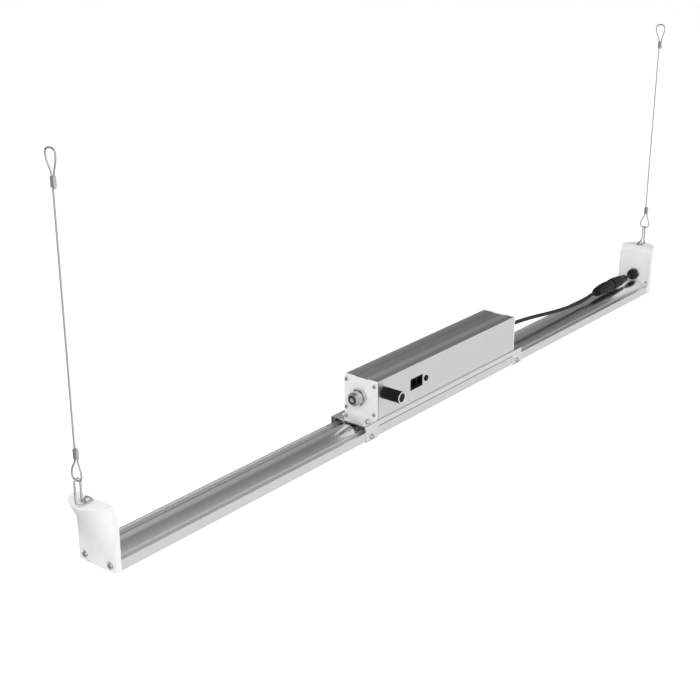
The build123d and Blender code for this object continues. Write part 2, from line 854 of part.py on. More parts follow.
with BuildPart() as transformer:
    with BuildSketch(level(board_top)):
        with Locations((transformer_x, 0)):
            Rectangle(transformer_length, transformer_width)
    extrude(amount=transformer_height)
    with BuildSketch(level(board_top + transformer_leg)):
        with Locations((transformer_x, 0)):
            Rectangle(transformer_length - 2 * transformer_leg, transformer_width)
            Circle(transformer_leg, mode=Mode.SUBTRACT)
    extrude(amount=transformer_height - 2 * transformer_leg, mode=Mode.SUBTRACT)
    with BuildSketch(level(board_top + transformer_leg)):
        with Locations((transformer_x, 0)):
            Circle(winding_radius)
    extrude(amount=transformer_height - 2 * transformer_leg)
write(transformer, "transformer")

with BuildPart() as capacitors:
    for x, y, radius, tall in capacitor_places:
        with BuildSketch(level(board_top)):
            with Locations((x, y)):
                Circle(radius)
        extrude(amount=tall)
    fillet(capacitors.edges().group_by(Axis.Z)[-1], 0.8)
write(capacitors, "capacitors")

# Mains gland on the left end plate, in four pieces
mains_nut_face = driver_left - mains_hex_length - mains_nut_gap
mains_tip = mains_nut_face - mains_nut_length
with BuildPart() as mains_gland_body:
    with BuildSketch(across(driver_left)):
        with Locations((0, mains_height)):
            RegularPolygon(hex_radius(mains_hex_flats), 6)
    extrude(amount=-mains_hex_length)
    with BuildSketch(across(driver_left)):
        with Locations((0, mains_height)):
            Circle(mains_thread_radius)
    extrude(amount=mains_thread_inside)
    with BuildSketch(across(driver_left - mains_hex_length)):
        with Locations((0, mains_height)):
            Circle(mains_thread_radius)
    extrude(amount=-mains_outer_thread_length)
    with BuildSketch(across(driver_left + mains_thread_inside)):
        with Locations((0, mains_height)):
            Circle(mains_bore)
    extrude(amount=-(mains_thread_inside + mains_hex_length + mains_outer_thread_length),
            mode=Mode.SUBTRACT)
write(mains_gland_body, "mains_gland_body")

with BuildPart() as mains_gland_nut:
    with BuildSketch(Plane(origin=(mains_nut_face, 0, base_z + mains_height),
                           x_dir=(-1, 0, 0), z_dir=(0, -1, 0))):
        with BuildLine():
            Polyline(
                (0, mains_thread_radius + thread_fit),
                (0, mains_nut_radius),
                (mains_nut_skirt, mains_nut_radius),
            )
            RadiusArc((mains_nut_skirt, mains_nut_radius),
                      (mains_nut_length, mains_nut_tip_radius), 6.0)
            Polyline(
                (mains_nut_length, mains_nut_tip_radius),
                (mains_nut_length, mains_seal_radius + thread_fit),
                (mains_outer_thread_length + 1.0, mains_seal_radius + thread_fit),
                (mains_outer_thread_length + 0.2, mains_thread_radius + thread_fit),
                (0, mains_thread_radius + thread_fit),
            )
        make_face()
    revolve(axis=Axis((0, 0, base_z + mains_height), (1, 0, 0)))
write(mains_gland_nut, "mains_gland_nut")

with BuildPart() as mains_gland_seal:
    with BuildSketch(across(mains_tip)):
        with Locations((0, mains_height)):
            Circle(mains_seal_radius)
            Circle(mains_seal_bore, mode=Mode.SUBTRACT)
    extrude(amount=mains_seal_length)
write(mains_gland_seal, "mains_gland_seal")

with BuildPart() as mains_gland_lock_nut:
    with BuildSketch(across(driver_left + driver_end_thickness)):
        with Locations((0, mains_height)):
            RegularPolygon(hex_radius(mains_lock_flats), 6)
            Circle(mains_thread_radius + thread_fit, mode=Mode.SUBTRACT)
    extrude(amount=mains_lock_thickness)
write(mains_gland_lock_nut, "mains_gland_lock_nut")

# Dimmer: potentiometer behind the wall, its nut, its shaft, the fluted knob and a trim ring
inner_wall = near_face + driver_wall
knob_base = near_face - knob_gap
knob_face = knob_base - knob_length
with BuildPart() as potentiometer:
    with BuildSketch(facing_near(inner_wall)):
        with Locations((knob_x, knob_height)):
            Circle(pot_radius)
            Circle(shaft_radius + shaft_clearance, mode=Mode.SUBTRACT)
    extrude(amount=-pot_depth)
    with BuildSketch(facing_near(inner_wall)):
        with Locations((knob_x, knob_height)):
            Circle(bush_radius)
            Circle(shaft_radius + shaft_clearance, mode=Mode.SUBTRACT)
    extrude(amount=bush_length)
write(potentiometer, "potentiometer")

with BuildPart() as potentiometer_nut:
    with BuildSketch(facing_near(near_face)):
        with Locations((knob_x, knob_height)):
            RegularPolygon(hex_radius(pot_nut_flats), 6)
            Circle(bush_radius + thread_fit, mode=Mode.SUBTRACT)
    extrude(amount=pot_nut_thickness)
write(potentiometer_nut, "potentiometer_nut")

shaft_end = knob_base - knob_skirt_depth - shaft_grip
with BuildPart() as dimmer_shaft:
    with BuildSketch(facing_near(inner_wall + pot_depth)):
        with Locations((knob_x, knob_height)):
            Circle(shaft_radius)
    extrude(amount=inner_wall + pot_depth - shaft_end)
write(dimmer_shaft, "dimmer_shaft")

with BuildPart() as dimmer_knob:
    with BuildSketch(facing_near(knob_base)):
        with Locations((knob_x, knob_height)):
            Circle(knob_radius)
    extrude(amount=knob_length)
    chamfer(dimmer_knob.edges().group_by(Axis.Y)[0], 0.5)
    with BuildSketch(facing_near(knob_base)):
        with Locations((knob_x, knob_height)):
            with PolarLocations(knob_radius, knob_flutes):
                Circle(knob_flute_radius)
    extrude(amount=knob_length - knob_smooth_end, mode=Mode.SUBTRACT)
    with BuildSketch(facing_near(knob_base)):
        with Locations((knob_x, knob_height)):
            Circle(knob_skirt_radius)
    extrude(amount=knob_skirt_depth, mode=Mode.SUBTRACT)
    with BuildSketch(facing_near(knob_base)):
        with Locations((knob_x, knob_height)):
            Circle(shaft_radius + shaft_clearance)
    extrude(amount=knob_skirt_depth + shaft_grip, mode=Mode.SUBTRACT)
    with BuildSketch(facing_near(knob_face)):
        with Locations((knob_x, knob_height)):
            Circle(trim_ring_outer)
            Circle(trim_ring_inner, mode=Mode.SUBTRACT)
    extrude(amount=-trim_ring_height / 2, mode=Mode.SUBTRACT)
write(dimmer_knob, "dimmer_knob")

with BuildPart() as dimmer_trim_ring:
    with BuildSketch(facing_near(knob_face + trim_ring_height / 2)):
        with Locations((knob_x, knob_height)):
            Circle(trim_ring_outer)
            Circle(trim_ring_inner, mode=Mode.SUBTRACT)
    extrude(amount=trim_ring_height)
write(dimmer_trim_ring, "dimmer_trim_ring")

# Double control jack in the near wall, with two keyed sockets and their contacts
jack_face = near_face - jack_proud
socket_x = (jack_x - socket_spacing / 2, jack_x + socket_spacing / 2)
with BuildPart() as control_jack:
    with BuildSketch(facing_near(jack_face)):
        with Locations((jack_x, jack_height)):
            Rectangle(jack_width, jack_tall)
    extrude(amount=-jack_depth)
    with BuildSketch(facing_near(jack_face)):
        for x in socket_x:
            with Locations((x, jack_height)):
                Rectangle(socket_width, socket_tall)
            with Locations((x, jack_height + (socket_tall + socket_notch_tall) / 2)):
                Rectangle(socket_notch_width, socket_notch_tall)
    extrude(amount=-socket_depth, mode=Mode.SUBTRACT)
write(control_jack, "control_jack")

contact_low = jack_height - socket_tall / 2
with BuildPart() as jack_contacts:
    for x in socket_x:
        with BuildSketch(facing_near(jack_face + contact_setback)):
            with Locations((x, contact_low + contact_tall / 2)):
                with GridLocations(contact_pitch, contact_tall, contact_count, 1):
                    Rectangle(contact_width, contact_tall)
        extrude(amount=-(socket_depth - contact_setback))
write(jack_contacts, "jack_contacts")

# Mode button and the barrel with a flange that it slides in
with BuildPart() as button_bezel:
    with BuildSketch(facing_near(near_face)):
        with Locations((button_x, button_height)):
            Circle(bezel_radius)
    extrude(amount=bezel_proud)
    with BuildSketch(facing_near(near_face)):
        with Locations((button_x, button_height)):
            Circle(barrel_radius)
    extrude(amount=-barrel_depth)
    with BuildSketch(facing_near(near_face - bezel_proud)):
        with Locations((button_x, button_height)):
            Circle(button_radius + button_clearance)
    extrude(amount=-(bezel_proud + barrel_depth - driver_wall), mode=Mode.SUBTRACT)
write(button_bezel, "button_bezel")

with BuildPart() as mode_button:
    with BuildSketch(facing_near(near_face - bezel_proud - button_proud)):
        with Locations((button_x, button_height)):
            Circle(button_radius)
    extrude(amount=-button_length)
    fillet(mode_button.edges().group_by(Axis.Y)[0], 0.6)
write(mode_button, "mode_button")


def make_nylon_gland(label, face, height, side, flats, hex_length, thread_length):
    """A nylon gland's body: hexagon outside a plate's face, threaded stub through the plate."""
    with BuildPart() as gland:
        with BuildSketch(across(face)) as flange:
            with Locations((0, height)):
                RegularPolygon(hex_radius(flats), 6)
        extrude(flange.sketch, amount=side * hex_length)
        with BuildSketch(across(face)) as stub:
            with Locations((0, height)):
                Circle(nylon_thread_radius)
        extrude(stub.sketch, amount=-side * thread_length)
        with BuildSketch(across(face + side * hex_length)) as bore:
            with Locations((0, height)):
                Circle(cable_radius + cable_fit)
        extrude(bore.sketch, amount=-side * (hex_length + thread_length), mode=Mode.SUBTRACT)
    write(gland, label)


def make_gland_nut(label, face, height, side, radius, length):
    """A gland's domed nut, revolved about the cable's axis from its seat to its tip."""
    seat = Plane(origin=(face, 0, base_z + height), x_dir=(side, 0, 0), z_dir=(0, -1, 0))
    bore = cable_radius + cable_fit
    grip_end = length * 0.45
    with BuildPart() as nut:
        with BuildSketch(seat) as profile:
            with BuildLine():
                Polyline((0, bore), (0, radius - 0.5), (0.5, radius), (grip_end, radius))
                RadiusArc((grip_end, radius), (length, nylon_tip_radius), length)
                Polyline((length, nylon_tip_radius), (length, bore), (0, bore))
            make_face()
        revolve(profile.sketch, axis=Axis((0, 0, base_z + height), (1, 0, 0)))
        with BuildSketch(across(face)) as flutes:
            with Locations((0, height)):
                with PolarLocations(radius + nut_flute_radius * 0.4, nut_flutes):
                    Circle(nut_flute_radius)
        extrude(flutes.sketch, amount=side * grip_end, mode=Mode.SUBTRACT)
    write(nut, label)


output_nut_face = driver_right + output_hex_length
make_nylon_gland("output_gland", driver_right, output_height, 1, output_hex_flats,
                 output_hex_length, driver_end_thickness + nylon_lock_thickness)
make_gland_nut("output_gland_nut", output_nut_face, output_height, 1, output_nut_radius,
               output_nut_length)
lamp_nut_face = plate_start - lamp_hex_length
make_nylon_gland("lamp_gland", plate_start, lamp_gland_height, -1, lamp_hex_flats,
                 lamp_hex_length, end_plate_thickness + nylon_lock_thickness)
make_gland_nut("lamp_gland_nut", lamp_nut_face, lamp_gland_height, -1, lamp_nut_radius,
               lamp_nut_length)

# Low-voltage cable: straight runs joined by arcs as large as the runs allow
route = [Vector(x, y, base_z + height) for x, y, height in cable_route]
runs = [end - start for start, end in zip(route, route[1:])]
cable_radii = [
    0.45 * min(before.length, after.length) / math.tan(math.radians(before.get_angle(after) / 2))
    for before, after in zip(runs, runs[1:])
]
with BuildPart() as output_cable:
    with BuildLine() as cable_line:
        FilletPolyline(*route, radius=cable_radii)
    with BuildSketch(Plane(origin=cable_line.line @ 0, z_dir=cable_line.line % 0)):
        Circle(cable_radius)
    sweep()
write(output_cable, "output_cable")
cable_length = cable_line.wires()[0].length
cable_area = math.pi * cable_radius ** 2
print("cable radii, mm:", [round(radius) for radius in cable_radii])
print(f"cable: {cable_length:.0f} mm long, volume ratio",
      f"{output_cable.part.volume / (cable_area * cable_length):.4f}")

# In-line connector: socket half with a thumb face, coupling ring, fluted plug half
connector_axis = Axis((0, 0, base_z + connector_height), (1, 0, 0))
connector_plane = Plane(origin=(0, 0, base_z + connector_height), x_dir=(1, 0, 0), z_dir=(0, -1, 0))
cable_bore = cable_radius + cable_fit
with BuildPart() as connector_socket:
    with BuildSketch(connector_plane):
        with BuildLine():
            Polyline(
                (connector_start, 0), (connector_start, collar_radius),
                (body_start - 1, collar_radius), (body_start - 1, neck_radius),
                (body_start, neck_radius), (body_start, socket_shoulder_radius),
            )
            ThreePointArc(
                (body_start, socket_shoulder_radius),
                ((body_start + socket_body_end) / 2, socket_body_radius),
                (socket_body_end, socket_shoulder_radius + 1.2),
            )
            Polyline(
                (socket_body_end, socket_shoulder_radius + 1.2), (socket_body_end, spigot_radius),
                (plug_start, spigot_radius), (plug_start, 0), (connector_start, 0),
            )
        make_face()
    revolve(axis=connector_axis)
    for side in (-1, 1):
        thumb_y = side * (socket_body_radius - thumb_face_depth)
        with BuildSketch(facing_near(thumb_y)):
            with Locations(((body_start + socket_body_end) / 2, connector_height)):
                Ellipse(thumb_face_length / 2, thumb_face_height / 2)
        extrude(amount=-side * socket_body_radius, mode=Mode.SUBTRACT)
    with BuildSketch(across(connector_start)):
        with Locations((0, connector_height)):
            Circle(cable_bore)
    extrude(amount=cable_grip, mode=Mode.SUBTRACT)
write(connector_socket, "connector_socket")

with BuildPart() as connector_ring:
    with BuildSketch(across(ring_start)):
        with Locations((0, connector_height)):
            Circle(ring_radius)
            with PolarLocations(ring_radius + ring_flute_radius * 0.3, ring_flutes):
                Circle(ring_flute_radius, mode=Mode.SUBTRACT)
            Circle(spigot_radius + ring_bore_gap, mode=Mode.SUBTRACT)
    extrude(amount=ring_end - ring_start)
write(connector_ring, "connector_ring")

with BuildPart() as connector_plug:
    with BuildSketch(connector_plane):
        with BuildLine():
            Polyline((plug_start, 0), (plug_start, plug_radius), (plug_start + 4, plug_radius))
            RadiusArc((plug_start + 4, plug_radius), (plug_end - collar_length, plug_neck_radius), 60.0)
            Polyline(
                (plug_end - collar_length, plug_neck_radius), (plug_end - collar_length, collar_radius + 0.6),
                (plug_end, collar_radius + 0.6), (plug_end, 0), (plug_start, 0),
            )
        make_face()
    revolve(axis=connector_axis)
    with BuildSketch(across(plug_start + 4)):
        with Locations((0, connector_height)):
            with PolarLocations(plug_radius + plug_flute_radius * 0.4, plug_flutes):
                Circle(plug_flute_radius)
    extrude(amount=plug_end - plug_start - 4 - collar_length, mode=Mode.SUBTRACT)
    with BuildSketch(across(plug_end)):
        with Locations((0, connector_height)):
            Circle(cable_bore)
    extrude(amount=-cable_grip, mode=Mode.SUBTRACT)
write(connector_plug, "connector_plug")

# Short cable from the connector into the lamp's gland
with BuildPart() as lamp_cable:
    with BuildSketch(across(plug_end - cable_grip)):
        with Locations((0, connector_height)):
            Circle(cable_radius)
    extrude(amount=plate_start + end_plate_thickness - plug_end + cable_grip)
write(lamp_cable, "lamp_cable")
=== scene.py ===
"""Looks of a hanging LED grow light bar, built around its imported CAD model.

Every length is in metres, in the CAD model's frame: +X along the bar, +Y away from the controls,
+Z up, with the origin midway between the inner crowns of the two top wire loops.
"""

import logging
import math
from dataclasses import dataclass, field
from enum import Enum

import bmesh
import bpy
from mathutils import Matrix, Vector


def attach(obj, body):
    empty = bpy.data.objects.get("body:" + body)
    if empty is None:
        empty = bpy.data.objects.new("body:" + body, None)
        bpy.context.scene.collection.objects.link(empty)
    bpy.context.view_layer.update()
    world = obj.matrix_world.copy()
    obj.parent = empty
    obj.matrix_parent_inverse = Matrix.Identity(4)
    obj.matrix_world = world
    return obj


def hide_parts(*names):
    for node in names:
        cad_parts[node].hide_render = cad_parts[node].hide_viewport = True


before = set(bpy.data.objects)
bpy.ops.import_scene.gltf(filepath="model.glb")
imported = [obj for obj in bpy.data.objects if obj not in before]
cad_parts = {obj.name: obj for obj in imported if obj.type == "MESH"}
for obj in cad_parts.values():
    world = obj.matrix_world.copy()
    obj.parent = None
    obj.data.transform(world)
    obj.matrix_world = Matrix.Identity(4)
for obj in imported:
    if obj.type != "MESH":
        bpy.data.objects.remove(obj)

log = logging.getLogger("grow_light_bar")

Colour = tuple[float, float, float]
Point = tuple[float, float, float]
Span = tuple[float, float]
Socket = bpy.types.NodeSocket
Feed = Socket | float | Colour

MM = 0.001
WHITE: Colour = (1.0, 1.0, 1.0)
BLACK: Colour = (0.0, 0.0, 0.0)
UNSTRETCHED: Point = (1.0, 1.0, 1.0)
FULL_SPAN: Span = (0.0, 1.0)

# Most values of a noise texture lie in this span.
NOISE_SPAN: Span = (0.3, 0.7)
# Octaves of the noise in a finish's soft patches and in its fine grain.
PATCH_DETAIL = 4.0
GRAIN_DETAIL = 2.0
# The lowest roughness that a finish is given.
SMOOTHEST = 0.02

# How near two vertices are joined, and how the edges of a CAD node are rounded.
WELD_GAP = 0.000001
EDGE_SEGMENTS = 2
EDGE_ANGLE = math.radians(35)

# How finely a cord is drawn between its control points and round its line.
CORD_STEPS = 16
CORD_ROUNDNESS = 6
CORD_ORDER = 3


class End(Enum):
    """One end of the bar, with its sign along X."""

    LEFT = -1
    RIGHT = 1

    @property
    def word(self) -> str:
        """The word that CAD node names use for this end."""
        return self.name.lower()


class Grain(Enum):
    """The direction of a finish's fine relief, as the noise's scale on each axis."""

    EVEN = (1.0, 1.0, 1.0)
    DRAWN_ALONG_BAR = (0.012, 1.0, 1.0)
    BRUSHED_UPRIGHT = (1.0, 1.0, 0.02)


class Edge(Enum):
    """How far a piece's edges are rounded, in millimetres."""

    SHARP = 0.0
    CRISP = 0.1
    FLUTED = 0.12
    TRIM = 0.15
    PLATE = 0.2
    PROFILE = 0.25
    MOULDED = 0.3


class NodeGraph:
    """A thin wrapper for building one node tree."""

    def __init__(self, tree: bpy.types.NodeTree) -> None:
        """Wrap a node tree."""
        self.tree = tree

    def add(self, kind: str, **settings: object) -> bpy.types.Node:
        """Add a node and set its properties.

        Args:
            kind: The node's type name, without the ShaderNode prefix.
            **settings: Properties of the node.

        Returns:
            The new node.
        """
        node = self.tree.nodes.new("ShaderNode" + kind)
        for key, value in settings.items():
            setattr(node, key, value)
        return node

    def feed(self, end: Socket, value: Feed) -> None:
        """Link a socket to an input, or set the input's own value.

        Args:
            end: The input.
            value: Another node's output, a number or a colour.
        """
        if isinstance(value, Socket):
            self.tree.links.new(value, end)
        elif isinstance(value, tuple):
            end.default_value = (*value, 1.0)
        else:
            end.default_value = value

    def calculate(self, operation: str, *values: Feed) -> Socket:
        """The result of a sum on numbers or sockets.

        Args:
            operation: The math node's operation.
            *values: What it works on, in order.

        Returns:
            The result's socket.
        """
        node = self.add("Math", operation=operation)
        for place, value in enumerate(values):
            self.feed(node.inputs[place], value)
        return node.outputs[0]

    def remap(self, value: Socket, source: Span, target: Span = FULL_SPAN,
              blend: str = "LINEAR") -> Socket:
        """A value mapped from one span to another, and held beyond its ends.

        Args:
            value: The socket to map.
            source: The span it is mapped from.
            target: The span it is mapped to.
            blend: The kind of interpolation.

        Returns:
            The mapped socket.
        """
        node = self.add("MapRange", interpolation_type=blend)
        names = ("From Min", "From Max", "To Min", "To Max")
        for name, number in zip(names, (*source, *target)):
            node.inputs[name].default_value = number
        self.feed(node.inputs["Value"], value)
        return node.outputs["Result"]

    def in_view(self) -> Socket:
        """Tell rays that show a surface from rays that only gather light from it.

        Returns:
            A socket that is 1 where it is looked at, reflected or seen through something clear.
        """
        rays = self.add("LightPath").outputs
        seen = self.calculate("MAXIMUM", rays["Is Camera Ray"], rays["Is Glossy Ray"])
        return self.calculate("MAXIMUM", seen, rays["Is Transmission Ray"])


class ShaderGraph(NodeGraph):
    """The node tree of one material with a Principled shader."""

    def __init__(self, name: str) -> None:
        """Start the material.

        Args:
            name: The material's name.
        """
        self.material = bpy.data.materials.new(name)
        self.material.use_nodes = True
        super().__init__(self.material.node_tree)
        self.shader = self.tree.nodes["Principled BSDF"]

    def set_shader(self, values: dict[str, Feed]) -> None:
        """Set or link inputs of the shader, by their names."""
        for name, value in values.items():
            self.feed(self.shader.inputs[name], value)

    def glow(self, colour: Feed) -> None:
        """Make the surface plain black but for its glow.

        Args:
            colour: The glow's colour, or the socket that gives it.
        """
        self.set_shader({
            "Base Color": BLACK,
            "Specular IOR Level": 0.0,
            "Emission Strength": 1.0,
            "Emission Color": colour,
        })

    def place(self, stretch: Point = UNSTRETCHED) -> Socket:
        """Object coordinates, stretched by a scale on each axis.

        Args:
            stretch: The scale along X, Y and Z.

        Returns:
            The mapped coordinates' socket.
        """
        coordinates = self.add("TexCoord")
        mapping = self.add("Mapping")
        mapping.inputs["Scale"].default_value = stretch
        self.feed(mapping.inputs["Vector"], coordinates.outputs["Object"])
        return mapping.outputs["Vector"]

    def axes(self, vector: Socket) -> dict[str, Socket]:
        """Split a vector into its parts.

        Args:
            vector: The vector's socket.

        Returns:
            The sockets of its parts, by the names X, Y and Z.
        """
        node = self.add("SeparateXYZ")
        self.feed(node.inputs["Vector"], vector)
        return {axis: node.outputs[axis] for axis in "XYZ"}

    def normal(self, axis: str) -> Socket:
        """One part of the direction that the surface faces."""
        return self.axes(self.add("NewGeometry").outputs["Normal"])[axis]

    def noise(self, where: Socket, cells: float, detail: float) -> Socket:
        """A noise value.

        Args:
            where: The coordinates it is read at.
            cells: Cells to a metre.
            detail: Octaves of finer noise.

        Returns:
            The noise's socket, from 0 to 1.
        """
        node = self.add("TexNoise")
        node.inputs["Scale"].default_value = cells
        node.inputs["Detail"].default_value = detail
        self.feed(node.inputs["Vector"], where)
        return node.outputs["Fac"]

    def mix(self, amount: Socket, low: Feed, high: Feed, data_type: str = "FLOAT") -> Socket:
        """A number between two, by an amount.

        Args:
            amount: The socket that mixes them, from 0 to 1.
            low: The number at 0.
            high: The number at 1.
            data_type: What is mixed, as the mix node names it.

        Returns:
            The mixed number's socket.
        """
        node = self.add("Mix", data_type=data_type)
        self.feed(node.inputs["Factor"], amount)
        self.feed(node.inputs["A"], low)
        self.feed(node.inputs["B"], high)
        return node.outputs["Result"]

    def tint(self, amount: Socket, low: Feed, high: Feed) -> Socket:
        """A colour between two, by an amount from 0 to 1."""
        return self.mix(amount, low, high, "RGBA")

    def relief(self, height: Socket, depth: float) -> None:
        """Give the surface a relief.

        Args:
            height: The relief's height, from 0 to 1.
            depth: The relief's depth.
        """
        bump = self.add("Bump")
        bump.inputs["Strength"].default_value = 1.0
        bump.inputs["Distance"].default_value = depth
        self.feed(bump.inputs["Height"], height)
        self.feed(self.shader.inputs["Normal"], bump.outputs["Normal"])


@dataclass(frozen=True)
class Finish:
    """A surface finish with fine variation in colour, roughness and relief.

    The shade is the share by which soft patches are darker. Cells are counted to a metre.
    """

    name: str
    colour: Colour
    roughness: float
    metallic: float = 0.0
    shade: float = 0.04
    roughness_spread: float = 0.06
    grain: Grain = Grain.EVEN
    grain_cells: float = 2500.0
    grain_depth: float = 0.00001
    patch_cells: float = 25.0
    coat: float = 0.0
    coat_roughness: float = 0.08
    specular: float = 0.5

    def darkened(self, share: float) -> Colour:
        """The finish's colour at a share of its brightness."""
        return tuple(part * share for part in self.colour)

    def make(self) -> bpy.types.Material:
        """Build the finish.

        Returns:
            The material.
        """
        graph = ShaderGraph(self.name)
        graph.set_shader(self.even_values())
        grain = graph.noise(graph.place(self.grain.value), self.grain_cells, GRAIN_DETAIL)
        graph.set_shader({"Base Color": self.tone(graph), "Roughness": self.gloss(graph, grain)})
        self.emboss(graph, grain)
        return graph.material

    def even_values(self) -> dict[str, float]:
        """The shader's values that are the same all over the surface.

        Returns:
            The values, by the names of the shader's inputs.
        """
        return {
            "Metallic": self.metallic,
            "Specular IOR Level": self.specular,
            "Coat Weight": self.coat,
            "Coat Roughness": self.coat_roughness,
        }

    def tone(self, graph: ShaderGraph) -> Socket:
        """The colour, a little darker in soft patches.

        Args:
            graph: The material's node tree.

        Returns:
            The colour's socket.
        """
        patches = graph.noise(graph.place(), self.patch_cells, PATCH_DETAIL)
        amount = graph.remap(patches, NOISE_SPAN)
        return graph.tint(amount, self.darkened(1.0 - self.shade), self.colour)

    def gloss(self, graph: ShaderGraph, grain: Socket) -> Socket:
        """The roughness, spread by the grain.

        Args:
            graph: The material's node tree.
            grain: The fine noise of the finish.

        Returns:
            The roughness's socket.
        """
        low = max(SMOOTHEST, self.roughness - self.roughness_spread)
        high = self.roughness + self.roughness_spread
        return graph.remap(grain, NOISE_SPAN, (low, high))

    def emboss(self, graph: ShaderGraph, grain: Socket) -> None:
        """Raise the grain a little out of the surface."""
        graph.relief(grain, self.grain_depth)


@dataclass(frozen=True)
class ClearCover(Finish):
    """A frosted clear plastic with fine ribs along the bar."""

    transmission: float = 0.85
    ior: float = 1.49
    ribs: float = 900.0
    rib_depth: float = 0.00004

    def even_values(self) -> dict[str, float]:
        """The shader's even values, with the plastic's clearness."""
        return super().even_values() | {"Transmission Weight": self.transmission, "IOR": self.ior}

    def emboss(self, graph: ShaderGraph, grain: Socket) -> None:
        """Rib the surface in place of its grain.

        Args:
            graph: The material's node tree.
            grain: The fine noise of the finish; not used here.
        """
        wave = graph.add("TexWave", bands_direction="Y")
        wave.inputs["Scale"].default_value = self.ribs / math.tau
        graph.feed(wave.inputs["Vector"], graph.place())
        graph.relief(wave.outputs["Fac"], self.rib_depth)


@dataclass(frozen=True)
class BandedFinish(Finish):
    """A metal whose upward faces carry a darker painted reflection, but for lengthwise bands
    where the painted reflection is lighter.
    """

    bands: tuple[Span, ...] = ()
    level_span: Span = (0.9, 0.97)
    # The upward faces are painted down to this share of the colour as a painted reflection;
    # inside the bands only the next share of that painted shade is kept.
    brushed_share: float = 0.65
    band_brushing: float = 0.45
    blend_width: float = 0.0006

    def tone(self, graph: ShaderGraph) -> Socket:
        """The colour, darkened on the upward faces by a painted reflection that is lighter in the
        bands.

        Args:
            graph: The material's node tree.

        Returns:
            The colour's socket.
        """
        across = graph.axes(graph.place())["Y"]
        # Painted reflection: darker on the upward faces, less dark inside the bands.
        painted_shade_mask = graph.remap(graph.normal("Z"), self.level_span)
        for band in self.bands:
            painted_shade_mask = graph.calculate("MULTIPLY", painted_shade_mask, self.beside(graph, across, band))
        return graph.tint(painted_shade_mask, super().tone(graph), self.darkened(self.brushed_share))

    def beside(self, graph: ShaderGraph, across: Socket, band: Span) -> Socket:
        """How far a place is from being inside one band.

        Args:
            graph: The material's node tree.
            across: The place across the driver.
            band: The band's two edges.

        Returns:
            A socket that is 1 beside the band and, inside it, the share of the painted shade that
            the band keeps.
        """
        low, high = band
        half = (high - low) / 2
        away = graph.calculate("ABSOLUTE", graph.calculate("SUBTRACT", across, (low + high) / 2))
        edge = (half - self.blend_width, half + self.blend_width)
        return graph.remap(away, edge, (self.band_brushing, 1.0))


@dataclass(frozen=True)
class SteppedFinish(Finish):
    """A metal that is polished above a level and matte below it."""

    level: float = 0.0
    matte: float = 0.5
    blend_width: float = 0.0003

    def gloss(self, graph: ShaderGraph, grain: Socket) -> Socket:
        """The roughness, matte below the level.

        Args:
            graph: The material's node tree.
            grain: The fine noise of the finish.

        Returns:
            The roughness's socket.
        """
        height = graph.axes(graph.place())["Z"]
        step = (self.level - self.blend_width, self.level + self.blend_width)
        return graph.mix(graph.remap(height, step), self.matte, super().gloss(graph, grain))


@dataclass(frozen=True)
class SealRubber(Finish):
    """A black rubber, pale grey on the walls of its bore."""

    bore_grey: float = 0.60
    face_span: Span = (0.2, 0.6)

    def tone(self, graph: ShaderGraph) -> Socket:
        """The colour, pale on the faces that look at the bore's axis.

        Args:
            graph: The material's node tree.

        Returns:
            The colour's socket.
        """
        facing = graph.remap(graph.calculate("ABSOLUTE", graph.normal("X")), self.face_span)
        return graph.tint(facing, (self.bore_grey,) * 3, super().tone(graph))


BAR_ALUMINIUM = SteppedFinish(
    "bright_anodised_bar", (0.885, 0.89, 0.895), roughness=0.20, metallic=1.0,
    shade=0.03, roughness_spread=0.035,
    grain=Grain.DRAWN_ALONG_BAR, grain_cells=1400.0, grain_depth=0.000004,
    level=-0.4289, matte=0.52,
)
# The driver's top carries a painted reflection: darker on its upward faces, lighter in two
# lengthwise bands.
DRIVER_ALUMINIUM = BandedFinish(
    "satin_anodised_driver", (0.875, 0.88, 0.885), roughness=0.42, metallic=1.0,
    shade=0.03, roughness_spread=0.04,
    grain=Grain.DRAWN_ALONG_BAR, grain_cells=1100.0, grain_depth=0.000004,
    bands=((-0.0167, -0.0048), (0.0205, 0.03)),
)
BRACKET_SHEET = Finish(
    "polished_bracket_sheet", (0.90, 0.90, 0.905), roughness=0.14, metallic=1.0,
    shade=0.03, roughness_spread=0.03, grain_cells=500.0, grain_depth=0.000003,
)
WHITE_CAP = Finish(
    "white_moulded_cap", (0.90, 0.90, 0.90), roughness=0.42,
    shade=0.05, grain_cells=1800.0, grain_depth=0.00002, patch_cells=70.0, coat=0.1,
)
WHITE_PLATE = Finish(
    "white_painted_plate", (0.90, 0.90, 0.90), roughness=0.32,
    shade=0.02, grain_cells=1100.0, grain_depth=0.000008, coat=0.15,
)
SCREW_STEEL = Finish(
    "zinc_screw_steel", (0.74, 0.74, 0.75), roughness=0.24, metallic=1.0,
    shade=0.12, roughness_spread=0.08, grain_cells=3500.0, patch_cells=400.0,
)
DARK_SCREW = Finish(
    "dark_plated_screw", (0.66, 0.66, 0.67), roughness=0.34, metallic=1.0,
    shade=0.15, roughness_spread=0.08, grain_cells=3500.0, patch_cells=400.0,
)
NICKEL = Finish(
    "nickel_plate", (0.60, 0.60, 0.595), roughness=0.08, metallic=1.0,
    shade=0.08, roughness_spread=0.05, grain_cells=3000.0, grain_depth=0.000004,
    patch_cells=250.0,
)
